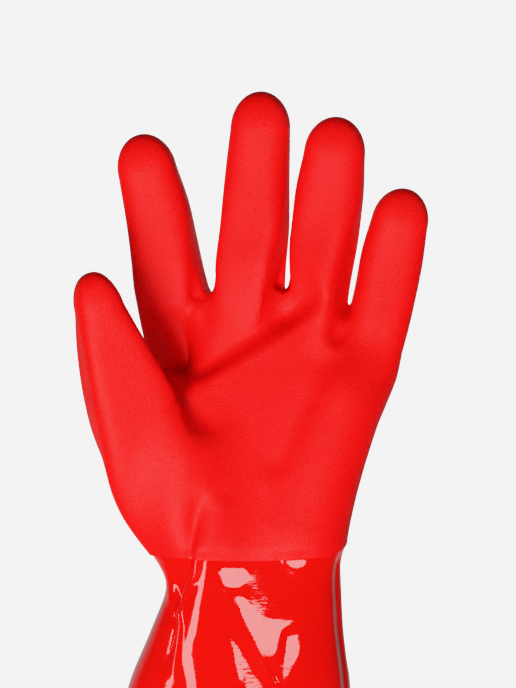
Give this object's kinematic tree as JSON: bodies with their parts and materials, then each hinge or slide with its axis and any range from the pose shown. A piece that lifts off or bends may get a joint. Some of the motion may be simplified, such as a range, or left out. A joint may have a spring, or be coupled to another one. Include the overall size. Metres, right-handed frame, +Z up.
{
  "type": "household rubber glove",
  "caption": "Long red rubber glove for the left hand, with a grippy sandy coat on palm, back and fingers and a smooth glossy gauntlet cuff, open where the forearm goes in.",
  "frame": {"origin": "middle of the wrist, where the hand sits in the glove, 210 mm below the middle fingertip", "axes": "+Z up the hand to the fingertips, -Y out of the palm, +X to the little finger, with the thumb at -X"},
  "size_m": [0.1506, 0.0932, 0.3198],
  "materials": {
    "sandy_coat": "matt with a fine sandy grain",
    "glossy_coat": "smooth and glossy, with soft creases"
  },
  "bodies": {
    "root": {"sandy_hand": "sandy_coat", "glossy_cuff": "glossy_coat"}
  },
  "joints": []
}
